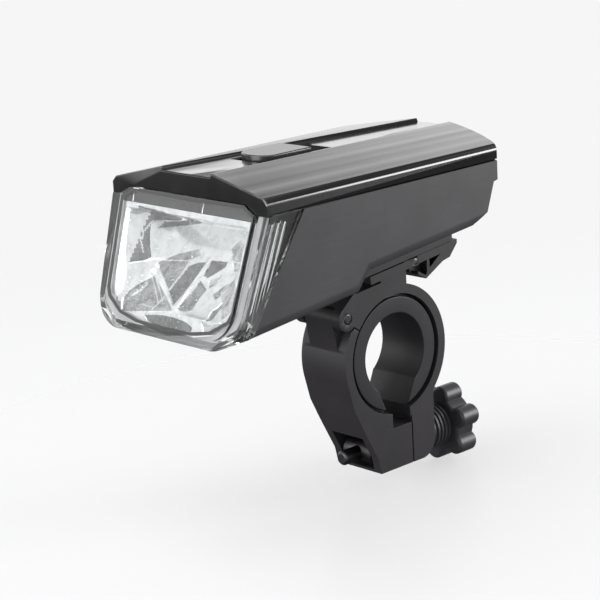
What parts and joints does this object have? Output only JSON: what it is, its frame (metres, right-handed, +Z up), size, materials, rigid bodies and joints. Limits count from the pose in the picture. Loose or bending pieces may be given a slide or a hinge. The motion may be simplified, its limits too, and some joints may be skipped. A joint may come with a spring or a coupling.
{
  "type": "bike headlight",
  "caption": "Box-shaped battery headlight with a clear wraparound lens, faceted dish and top button, on a quick-release shoe over a hinged ring clamp with a thumb screw.",
  "frame": {"origin": "centre of the handlebar bore, halfway across the clamp", "axes": "+X along the handlebar, the lens faces -Y, +Z up"},
  "size_m": [0.058, 0.1021, 0.0979],
  "materials": {
    "cover_gloss": "glossy black moulded plastic",
    "casing_satin": "satin dark grey moulded plastic",
    "lens_clear": "clear moulded polycarbonate",
    "reflector_chrome": "vacuum-metallised mirror",
    "shade_black": "black moulded plastic",
    "board_green": "solder mask",
    "emitter_yellow": "phosphor under silicone",
    "heat_sink_aluminium": "anodised",
    "button_black": "fine matt moulded plastic",
    "switch_steel": "plain",
    "window_smoke": "smoked clear plastic",
    "cell_wrap": "shrink wrap",
    "cradle_black": "plain moulded plastic",
    "contact_nickel": "nickel plate",
    "socket_steel": "plated",
    "flap_rubber": "matt",
    "screw_steel": "black zinc plated",
    "clamp_black": "satin glass-filled nylon",
    "liner_rubber": "matt rubber",
    "nut_black": "blackened",
    "knob_black": "satin moulded plastic"
  },
  "bodies": {
    "lamp_and_bracket": {"top_cover": "cover_gloss", "lower_casing": "casing_satin", "front_lens": "lens_clear", "reflector": "reflector_chrome", "reflector_shade": "shade_black", "led_board": "board_green", "led_emitter": "emitter_yellow", "heat_sink": "heat_sink_aluminium", "tact_switch": "switch_steel", "status_window": "window_smoke", "control_board": "board_green", "battery_cell_front": "cell_wrap", "battery_cell_rear": "cell_wrap", "battery_cradle": "cradle_black", "contact_plate_right": "contact_nickel", "contact_plate_left": "contact_nickel", "charge_socket": "socket_steel", "charge_board": "board_green", "casing_screw_front_left": "screw_steel", "casing_screw_front_right": "screw_steel", "casing_screw_rear_left": "screw_steel", "casing_screw_rear_right": "screw_steel", "base_rail": "clamp_black", "rail_screw_front": "screw_steel", "rail_screw_rear": "screw_steel", "bracket": "clamp_black", "hinge_pin": "screw_steel", "latch_pin": "screw_steel", "clamp_liner": "liner_rubber"},
    "front_jaw": {"front_jaw": "clamp_black"},
    "nut": {"barrel_nut": "nut_black"},
    "thumb_screw": {"thumb_knob": "knob_black", "clamp_screw": "screw_steel", "thrust_washer": "screw_steel"},
    "button": {"power_button": "button_black", "switch_plunger": "button_black"},
    "latch": {"release_latch": "clamp_black"},
    "port_flap": {"port_cover": "flap_rubber"}
  },
  "joints": [
    {"name": "knob_turn", "type": "hinge", "parent": "lamp_and_bracket", "child": "thumb_screw", "pos_m": [0, 0, -0.0273], "axis": [0, 1, 0], "range_deg": [0, 1805]},
    {"name": "jaw_open", "type": "hinge", "parent": "lamp_and_bracket", "child": "front_jaw", "pos_m": [0, -0.01726, 0.01348], "axis": [-1, 0, 0], "range_deg": [0, 5]},
    {"name": "nut_travel", "type": "slide", "parent": "lamp_and_bracket", "child": "nut", "axis": [0, -1, 0], "range_m": [0, 0.0035]},
    {"name": "button_press", "type": "slide", "parent": "lamp_and_bracket", "child": "button", "axis": [0, 0, -1], "range_m": [0, 0.0008], "stiffness_N_per_m": 1500},
    {"name": "latch_press", "type": "hinge", "parent": "lamp_and_bracket", "child": "latch", "pos_m": [0, 0.0072, 0.02407], "axis": [-1, 0, 0], "range_deg": [0, 4.5], "stiffness_Nm_per_rad": 0.25},
    {"name": "port_cover_open", "type": "hinge", "parent": "lamp_and_bracket", "child": "port_flap", "pos_m": [0, 0.02307, 0.03992], "axis": [-1, 0, 0], "range_deg": [0, 95], "stiffness_Nm_per_rad": 0.001}
  ],
  "couplings": [
    {"joint": "jaw_open", "follows": "nut_travel", "rad_per_m": 24.52},
    {"joint": "knob_turn", "follows": "nut_travel", "rad_per_m": 8976}
  ]
}
